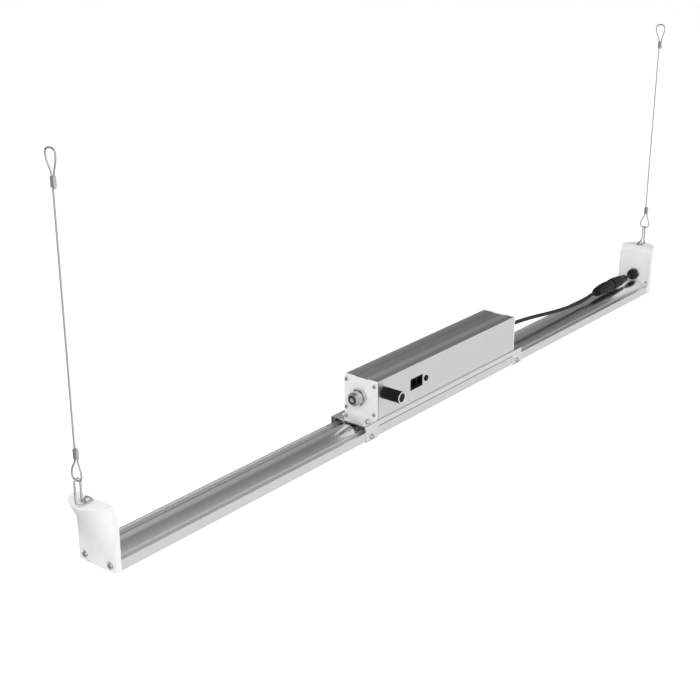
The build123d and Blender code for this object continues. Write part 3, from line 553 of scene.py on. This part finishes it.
# The knob's trim ring is a bright chamfer, painted plain white all round: partly its own pale
# colour, partly a painted highlight of the kind it catches on one side.
KNOB_RING_PAINTED_HIGHLIGHT = Finish(
    "knob_ring_painted_highlight", (0.92, 0.92, 0.92), roughness=0.28,
    shade=0.03, roughness_spread=0.05, grain_cells=4000.0, grain_depth=0.000004,
    patch_cells=300.0,
)
ROPE_STEEL = Finish(
    "wire_rope_steel", (0.64, 0.64, 0.65), roughness=0.30, metallic=1.0,
    shade=0.18, roughness_spread=0.08, grain_cells=4000.0, patch_cells=500.0,
)
FERRULE_METAL = Finish(
    "crimped_ferrule", (0.72, 0.72, 0.73), roughness=0.33, metallic=1.0,
    shade=0.15, roughness_spread=0.08, grain=Grain.BRUSHED_UPRIGHT, grain_cells=3000.0,
    patch_cells=400.0,
)
SEAL_RUBBER = SealRubber(
    "black_seal_rubber", (0.014, 0.014, 0.015), roughness=0.55, specular=0.2,
    shade=0.25, grain_depth=0.00002,
)
RUBBER = Finish(
    "black_rubber", (0.025, 0.025, 0.026), roughness=0.68, shade=0.25, grain_depth=0.00003,
)
NYLON = Finish(
    "black_moulded_nylon", (0.012, 0.012, 0.013), roughness=0.42, specular=0.2,
    shade=0.25, grain_cells=3500.0, grain_depth=0.000012, patch_cells=120.0,
)
GREY_NYLON = Finish(
    "grey_moulded_nylon", (0.42, 0.42, 0.43), roughness=0.40, specular=0.3,
    shade=0.1, grain_cells=3500.0, grain_depth=0.000012, patch_cells=120.0,
)
SHEATH = Finish(
    "black_cable_sheath", (0.020, 0.020, 0.022), roughness=0.46, specular=0.25,
    shade=0.3, grain_depth=0.000012, patch_cells=90.0,
)
KNOB_PLASTIC = Finish(
    "black_knob_plastic", (0.012, 0.012, 0.013), roughness=0.35, specular=0.14,
    shade=0.2, grain_cells=4000.0, grain_depth=0.000008, patch_cells=200.0,
)
JACK_PLASTIC = Finish(
    "black_jack_plastic", (0.006, 0.006, 0.007), roughness=0.45, specular=0.08,
    shade=0.2, grain_cells=4000.0, patch_cells=200.0,
)
GOLD = Finish(
    "gold_contact", (0.80, 0.60, 0.28), roughness=0.22, metallic=1.0,
    shade=0.1, grain_cells=5000.0, patch_cells=900.0,
)
COVER = ClearCover(
    "clear_cover", (0.94, 0.95, 0.95), roughness=0.14, shade=0.01, roughness_spread=0.04,
)
LED_BOARD = Finish(
    "white_led_board", (0.88, 0.88, 0.86), roughness=0.35, shade=0.03, coat=0.2,
)
PHOSPHOR = Finish(
    "led_phosphor", (0.90, 0.78, 0.30), roughness=0.30, shade=0.08, patch_cells=600.0,
)
CIRCUIT_BOARD = Finish(
    "green_circuit_board", (0.03, 0.20, 0.09), roughness=0.35, shade=0.2, coat=0.2,
)
FERRITE = Finish(
    "sintered_ferrite", (0.10, 0.10, 0.11), roughness=0.6, shade=0.2, grain_depth=0.00004,
)
SLEEVE = Finish("capacitor_sleeve", (0.05, 0.05, 0.09), roughness=0.3, shade=0.1)


@dataclass
class Dresser:
    """Puts finishes on the CAD nodes and on new pieces."""

    made: dict[str, bpy.types.Material] = field(default_factory=dict)

    def dress(self, piece: bpy.types.Object, finish: Finish) -> None:
        """Give one object a finish, whose material is made once.

        Args:
            piece: The object.
            finish: Its finish.
        """
        if finish.name not in self.made:
            self.made[finish.name] = finish.make()
        piece.data.materials.clear()
        piece.data.materials.append(self.made[finish.name])

    def node(self, name: str, finish: Finish, edge: Edge) -> None:
        """Give a CAD node a finish and slightly rounded edges.

        Args:
            name: The CAD node.
            finish: Its finish.
            edge: The rounding of its edges.
        """
        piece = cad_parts[name]
        self.dress(piece, finish)
        weld = piece.modifiers.new("weld", "WELD")
        weld.merge_threshold = WELD_GAP
        if edge is not Edge.SHARP:
            bevel = piece.modifiers.new("edge", "BEVEL")
            bevel.width = edge.value * MM
            bevel.segments = EDGE_SEGMENTS
            bevel.limit_method = "ANGLE"
            bevel.angle_limit = EDGE_ANGLE
            flatten = piece.modifiers.new("flatten", "WEIGHTED_NORMAL")
            flatten.mode = "FACE_AREA_WITH_ANGLE"
            flatten.keep_sharp = True
        log.info("dressed %s with %s", name, finish.name)

    def nodes(self, plan: dict[str, tuple[Finish, Edge]]) -> None:
        """Give each CAD node of a plan its finish and its edges."""
        for name, (finish, edge) in plan.items():
            self.node(name, finish, edge)


def smooth_curve(name: str, route: list[Point], radius: float) -> bpy.types.Object:
    """A round cord whose line is a smooth spline.

    Args:
        name: The object's name.
        route: The spline's control points.
        radius: The cord's radius.

    Returns:
        The curve object.
    """
    curve = bpy.data.curves.new(name, "CURVE")
    curve.dimensions = "3D"
    curve.resolution_u = CORD_STEPS
    curve.bevel_depth = radius
    curve.bevel_resolution = CORD_ROUNDNESS
    curve.use_fill_caps = True
    spline = curve.splines.new("NURBS")
    spline.points.add(len(route) - 1)
    for point, place in zip(spline.points, route):
        point.co = (*place, 1.0)
    spline.order_u = CORD_ORDER
    spline.use_endpoint_u = True
    cord = bpy.data.objects.new(name, curve)
    bpy.context.scene.collection.objects.link(cord)
    return cord


@dataclass
class LightBar:
    """The extruded bar with its LED boards, cover and end seals."""

    dresser: Dresser

    def dress(self) -> None:
        """Finish the bar's own nodes."""
        self.dresser.nodes({
            "bar_extrusion": (BAR_ALUMINIUM, Edge.PROFILE),
            "lens_cover": (COVER, Edge.SHARP),
            "led_packages": (PHOSPHOR, Edge.PLATE),
        })
        for end in End:
            self.dresser.node(f"led_board_{end.word}", LED_BOARD, Edge.TRIM)
            self.dresser.node(f"{end.word}_end_gasket", RUBBER, Edge.SHARP)


@dataclass
class EndCap:
    """One end of the lamp: the end plate, the bowed shell, its screws and the wire hook."""

    dresser: Dresser
    end: End

    def dress(self) -> None:
        """Finish the cap's nodes."""
        side = self.end.word
        self.dresser.node(f"{side}_end_plate", WHITE_PLATE, Edge.PLATE)
        self.dresser.node(f"{side}_end_shell", WHITE_CAP, Edge.MOULDED)
        for fitting in ("end_screws", "plate_screws", "hook", "hook_fixing"):
            self.dresser.node(f"{side}_{fitting}", SCREW_STEEL, Edge.CRISP)


@dataclass
class SuspensionWire:
    """A steel wire rope with a crimped loop at each end."""

    dresser: Dresser
    end: End
    place: float = 0.618
    radius: float = 0.0009
    length: float = 0.434
    low_crown: float = -0.3357
    low_neck: float = 0.0217
    low_hold: float = 0.0335
    low_tail: float = 0.0362
    high_crown: float = 0.0009
    high_neck: float = 0.0239
    high_hold: float = 0.0357
    high_tail: float = 0.0384
    loop_shoulder: float = 0.0117
    loop_half_width: float = 0.0073
    pair_spacing: float = 0.0024

    def route(self) -> list[Point]:
        """The wire's control points: down into the lower loop, up the wire, round the upper loop.

        Heights are measured from each loop's crown. The neck is where a loop closes, the hold is
        inside its ferrule, and the tail is the wire's own end.

        Returns:
            The points.
        """
        x = self.end.value * self.place
        low = self.low_crown
        high = self.high_crown
        half = self.loop_half_width
        pair = self.pair_spacing
        shoulder = self.loop_shoulder
        return [
            (x, -pair, low + self.low_tail),
            (x, -pair, low + self.low_neck),
            (x, -half, low + shoulder),
            (x, -half, low),
            (x, half, low),
            (x, half, low + shoulder),
            (x, 0.0, low + self.low_neck),
            (x, 0.0, low + self.low_hold),
            (x, 0.0, high - self.high_hold),
            (x, 0.0, high - self.high_neck),
            (x, half, high - shoulder),
            (x, half, high),
            (x, -half, high),
            (x, -half, high - shoulder),
            (x, -pair, high - self.high_neck),
            (x, -pair, high - self.high_tail),
        ]

    def build(self) -> None:
        side = self.end.word
        self.dresser.node(f"{side}_ferrules", FERRULE_METAL, Edge.MOULDED)
        route = self.route()
        rope = smooth_curve(f"{side}_wire_rope", route, self.radius)
        self.dresser.dress(rope, ROPE_STEEL)
        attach(rope, f"{side}_suspension")
        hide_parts(f"{side}_wire")
        log.info("built %s", rope.name)


@dataclass
class DriverMount:
    """The long folded bracket over the bar that carries the driver, and its screws."""

    dresser: Dresser

    def dress(self) -> None:
        """Finish the bracket and the screws at both its ends."""
        self.dresser.node("driver_bracket", BRACKET_SHEET, Edge.PROFILE)
        for end in End:
            self.dresser.node(f"{end.word}_bracket_screws", SCREW_STEEL, Edge.CRISP)


@dataclass
class DriverBox:
    """The driver's housing, its end plates and the electronics inside."""

    dresser: Dresser

    def dress(self) -> None:
        """Finish the driver's nodes."""
        self.dresser.nodes({
            "driver_housing": (DRIVER_ALUMINIUM, Edge.PLATE),
            "circuit_board": (CIRCUIT_BOARD, Edge.SHARP),
            "transformer": (FERRITE, Edge.SHARP),
            "capacitors": (SLEEVE, Edge.SHARP),
        })
        for end in End:
            self.dresser.node(f"driver_{end.word}_plate", WHITE_PLATE, Edge.PLATE)
            self.dresser.node(f"driver_{end.word}_gasket", RUBBER, Edge.SHARP)
            self.dresser.node(f"driver_{end.word}_screws", DARK_SCREW, Edge.CRISP)


@dataclass
class Controls:
    """The dimmer knob, the control jack and the mode button on the driver's near side."""

    dresser: Dresser

    def dress(self) -> None:
        """Finish the controls."""
        self.dresser.nodes({
            "dimmer_knob": (KNOB_PLASTIC, Edge.FLUTED),
            "dimmer_trim_ring": (KNOB_RING_PAINTED_HIGHLIGHT, Edge.TRIM),
            "dimmer_shaft": (SCREW_STEEL, Edge.CRISP),
            "potentiometer": (JACK_PLASTIC, Edge.CRISP),
            "potentiometer_nut": (NICKEL, Edge.CRISP),
            "control_jack": (JACK_PLASTIC, Edge.TRIM),
            "jack_contacts": (GOLD, Edge.SHARP),
            "button_bezel": (KNOB_PLASTIC, Edge.TRIM),
            "mode_button": (KNOB_PLASTIC, Edge.CRISP),
        })


@dataclass
class Glands:
    """The nickel mains gland and the two nylon glands of the low-voltage cable."""

    dresser: Dresser

    def dress(self) -> None:
        """Finish the glands."""
        self.dresser.nodes({
            "mains_gland_body": (NICKEL, Edge.PROFILE),
            "mains_gland_nut": (NICKEL, Edge.PLATE),
            "mains_gland_lock_nut": (NICKEL, Edge.PLATE),
            "mains_gland_seal": (SEAL_RUBBER, Edge.PLATE),
            "lamp_gland": (GREY_NYLON, Edge.PLATE),
            "output_gland": (NYLON, Edge.PLATE),
            "output_gland_nut": (NYLON, Edge.PLATE),
            "lamp_gland_nut": (NYLON, Edge.PLATE),
        })


@dataclass
class LowVoltageCable:
    """The cable from the driver to the in-line connector, and the short lead to the lamp's end.

    The heights of bends and connector are above the bar's underside.
    """

    dresser: Dresser
    radius: float = 0.00275
    length: float = 0.304
    lead_length: float = 0.0495
    bar_underside: float = -0.441
    connector_height: float = 0.0298
    bends: tuple[Point, ...] = (
        (0.163, 0.0, 0.0470),
        (0.200, 0.0, 0.0470),
        (0.258, 0.0009, 0.0410),
        (0.322, -0.0008, 0.0326),
        (0.375, -0.0005, 0.0274),
        (0.418, 0.0006, 0.0254),
    )
    connector_places: Span = (0.445, 0.466)
    lead_places: tuple[float, ...] = (0.5975, 0.581, 0.5645, 0.548)
    connector: tuple[str, ...] = ("connector_socket", "connector_ring", "connector_plug")

    def level_run(self, places: tuple[float, ...]) -> list[Point]:
        """Points on the connector's axis at some places along the bar."""
        return [(x, 0.0, self.connector_height) for x in places]

    def in_frame(self, points: list[Point]) -> list[Point]:
        """Points above the bar's underside, in the CAD model's frame."""
        return [(x, y, height + self.bar_underside) for x, y, height in points]

    def build(self) -> None:
        for name in self.connector:
            self.dresser.node(name, NYLON, Edge.TRIM)
        route = self.in_frame([*self.bends, *self.level_run(self.connector_places)])
        cable = smooth_curve("low_voltage_cable", route, self.radius)
        self.dresser.dress(cable, SHEATH)
        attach(cable, "lamp")
        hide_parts("output_cable")
        log.info("built %s", cable.name)

        route = self.in_frame(self.level_run(self.lead_places))
        lead = smooth_curve("lamp_lead", route, self.radius)
        self.dresser.dress(lead, SHEATH)
        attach(lead, "lamp")
        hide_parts("lamp_cable")
        log.info("built %s", lead.name)


def aim(thing: bpy.types.Object, direction: Vector) -> None:
    """Turn a camera or a light to look in a direction, with its top up."""
    thing.rotation_mode = "QUATERNION"
    thing.rotation_quaternion = direction.to_track_quat("-Z", "Y")


def sheet(name: str, corners: list[Point]) -> bpy.types.Mesh:
    """A mesh of one flat face.

    Args:
        name: The mesh's name.
        corners: Its four corners, in order.

    Returns:
        The mesh.
    """
    mesh = bpy.data.meshes.new(name)
    mesh.from_pydata(corners, [], [tuple(range(len(corners)))])
    return mesh


def stand(mesh: bpy.types.Mesh, material: bpy.types.Material, place: Point) -> bpy.types.Object:
    """Stand a surface in the studio.

    Args:
        mesh: Its mesh, whose name it takes.
        material: Its material.
        place: Where its origin goes.

    Returns:
        The new object.
    """
    mesh.materials.append(material)
    surface = bpy.data.objects.new(mesh.name, mesh)
    surface.location = place
    bpy.context.scene.collection.objects.link(surface)
    log.info("stood %s in the studio", surface.name)
    return surface


def reflect_only(surface: bpy.types.Object) -> None:
    """Keep a surface of the studio out of sight of all but reflections.

    Args:
        surface: The surface.
    """
    surface.visible_camera = False
    surface.visible_diffuse = False
    surface.visible_transmission = False
    surface.visible_shadow = False


@dataclass(frozen=True)
class Panel:
    """A soft rectangular light."""

    name: str
    centre: Point
    target: Point
    size: Span
    power: float

    def hang(self) -> None:
        """Put the light in the studio."""
        data = bpy.data.lights.new(self.name, "AREA")
        data.shape = "RECTANGLE"
        data.size, data.size_y = self.size
        data.energy = self.power
        light = bpy.data.objects.new(self.name, data)
        light.location = self.centre
        aim(light, Vector(self.target) - Vector(self.centre))
        bpy.context.scene.collection.objects.link(light)
        log.info("hung the %s light", self.name)


@dataclass
class Studio:
    """A pale floor, soft studio lights, glowing sheets that paint the reflections in the metal,
    and the photograph's camera.

    Turns of the tent are shares of half a turn about the bar's line: 0 is level behind the
    lamp, 0.5 above it, 1 and -1 at its near side, and -0.5 below it.
    """

    camera_place: Point = (-1.3545, -0.9408, 0.2410)
    camera_turn: float = -51.27
    camera_tilt: float = 20.59
    lens: float = 66.37
    sensor: float = 36.0
    sight: float = 100.0
    floor_height: float = -2.4
    floor_size: float = 40.0
    floor_colour: Colour = (0.86, 0.86, 0.86)
    floor_roughness: float = 0.9
    floor_glow: float = 0.45
    tent_height: float = -0.44
    tent_radius: float = 3.0
    tent_segments: int = 96
    tent_rings: int = 64
    # The tent's greys are painted reflections: the tent glows though it is no lamp, and only the
    # metal's reflections see it.
    tent_greys: tuple[Span, ...] = (
        (-0.77, 0.76), (-0.65, 0.42), (-0.5, 0.26), (-0.03, 0.26), (0.02, 0.42), (0.25, 0.42),
        (0.29, 0.24), (0.38, 0.25), (0.47, 0.285), (0.555, 0.36), (0.645, 0.58), (0.77, 0.76),
    )
    fall_places: Span = (0.40, 0.86)
    fall_levels: Span = (1.08, 0.50)
    near_turn: Span = (0.66, 0.78)
    # A glowing grey card, seen only in reflections, paints a darker reflection on the bar's far
    # side.
    card_place: float = 0.039
    card_half_length: float = 0.60
    card_heights: Span = (-0.471, -0.417)
    card_grey: float = 0.21
    sky_light: float = 0.74
    panels: tuple[Panel, ...] = (
        Panel("key", centre=(-2.2, -1.6, 1.4), target=(0.0, 0.0, -0.4),
              size=(1.8, 1.2), power=40.0),
        Panel("fill", centre=(0.6, -2.6, 0.9), target=(0.0, 0.0, -0.4),
              size=(2.4, 1.2), power=12.0),
    )

    def camera(self) -> None:
        """Place the camera where the photograph was taken from."""
        turn = math.radians(self.camera_turn)
        tilt = math.radians(self.camera_tilt)
        level = math.cos(tilt)
        data = bpy.data.cameras.new("camera")
        data.lens = self.lens
        data.sensor_width = self.sensor
        data.clip_end = self.sight
        camera = bpy.data.objects.new("camera", data)
        camera.location = self.camera_place
        aim(camera, Vector((-math.sin(turn) * level, math.cos(turn) * level, -math.sin(tilt))))
        bpy.context.scene.collection.objects.link(camera)
        bpy.context.scene.camera = camera

    def floor(self) -> None:
        """Add a pale floor that reads white and keeps the lamp's shadow."""
        graph = ShaderGraph("pale_floor")
        graph.set_shader({
            "Roughness": self.floor_roughness,
            "Base Color": self.floor_colour,
            "Emission Color": WHITE,
            "Emission Strength": graph.calculate("MULTIPLY", graph.in_view(), self.floor_glow),
        })
        half = self.floor_size / 2
        corners = [(-half, -half, 0.0), (half, -half, 0.0), (half, half, 0.0), (-half, half, 0.0)]
        place = (0.0, 0.0, self.floor_height)
        floor = stand(sheet("floor", corners), graph.material, place)
        floor.visible_glossy = False

    def tent_shades(self, graph: ShaderGraph, climb: Socket) -> Socket:
        """The tent's grey round the bar's line.

        Args:
            graph: The tent's node tree.
            climb: The angle round the line, from -pi to pi, with 0 level behind the lamp.

        Returns:
            The grey's socket.
        """
        ramp = graph.add("ValToRGB")
        stops = ramp.color_ramp.elements
        shades = [((turn + 1) / 2, (grey, grey, grey, 1.0)) for turn, grey in self.tent_greys]
        for stop, (place, grey) in zip((stops[0], stops[1]), (shades[0], shades[-1])):
            stop.position = place
            stop.color = grey
        for place, grey in shades[1:-1]:
            stops.new(place).color = grey
        graph.feed(ramp.inputs["Fac"], graph.remap(climb, (-math.pi, math.pi)))
        return ramp.outputs["Color"]

    def tent_grey(self, graph: ShaderGraph) -> Socket:
        """The tent's grey, a painted reflection, which falls off towards the right except at the
        near side.

        Args:
            graph: The tent's node tree.

        Returns:
            The grey's socket.
        """
        axes = graph.axes(graph.place())
        climb = graph.calculate("ARCTAN2", axes["Z"], axes["Y"])
        fall = graph.remap(axes["X"], self.fall_places, self.fall_levels)
        start, end = self.near_turn
        near = graph.remap(graph.calculate("ABSOLUTE", climb), (start * math.pi, end * math.pi),
                           blend="SMOOTHSTEP")
        level = graph.mix(near, fall, 1.0)
        return graph.calculate("MULTIPLY", self.tent_shades(graph, climb), level)

    def tent(self) -> None:
        """Stand a round glowing tent about the studio, which only reflections see, to paint the
        greys reflected in the metal.
        """
        graph = ShaderGraph("grey_tent")
        graph.glow(self.tent_grey(graph))
        form = bmesh.new()
        bmesh.ops.create_uvsphere(form, u_segments=self.tent_segments,
                                  v_segments=self.tent_rings, radius=1.0)
        mesh = bpy.data.meshes.new("grey_tent")
        form.to_mesh(mesh)
        form.free()
        tent = stand(mesh, graph.material, (0.0, 0.0, self.tent_height))
        tent.scale = (self.tent_radius,) * 3
        reflect_only(tent)

    def card(self) -> None:
        """Stand a low glowing grey card behind the bar, which only reflections see, to paint a
        darker reflection on the bar's far side.
        """
        graph = ShaderGraph("grey_card")
        graph.glow((self.card_grey,) * 3)
        low, high = self.card_heights
        half = self.card_half_length
        corners = [(-half, 0.0, low), (half, 0.0, low), (half, 0.0, high), (-half, 0.0, high)]
        place = (0.0, self.card_place, 0.0)
        card = stand(sheet("grey_card", corners), graph.material, place)
        reflect_only(card)

    def sky(self) -> None:
        """Light the room softly, and show white behind the lamp."""
        world = bpy.data.worlds.new("studio")
        world.use_nodes = True
        graph = NodeGraph(world.node_tree)
        background = graph.tree.nodes["Background"]
        graph.feed(background.inputs["Color"], WHITE)
        strength = graph.remap(graph.in_view(), FULL_SPAN, (self.sky_light, 1.0))
        graph.feed(background.inputs["Strength"], strength)
        bpy.context.scene.world = world

    def build(self) -> None:
        """Set the whole studio up."""
        bpy.context.scene.view_settings.view_transform = "Standard"
        self.camera()
        self.floor()
        self.tent()
        self.card()
        self.sky()
        for panel in self.panels:
            panel.hang()


def main() -> None:
    """Build the lamp's looks piece by piece."""
    logging.basicConfig(level=logging.INFO, format="%(name)s: %(message)s")
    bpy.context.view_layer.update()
    dresser = Dresser()
    Studio().build()
    LightBar(dresser).dress()
    for end in End:
        EndCap(dresser, end).dress()
        SuspensionWire(dresser, end).build()
    DriverMount(dresser).dress()
    DriverBox(dresser).dress()
    Controls(dresser).dress()
    Glands(dresser).dress()
    LowVoltageCable(dresser).build()


if __name__ == "__main__":
    main()
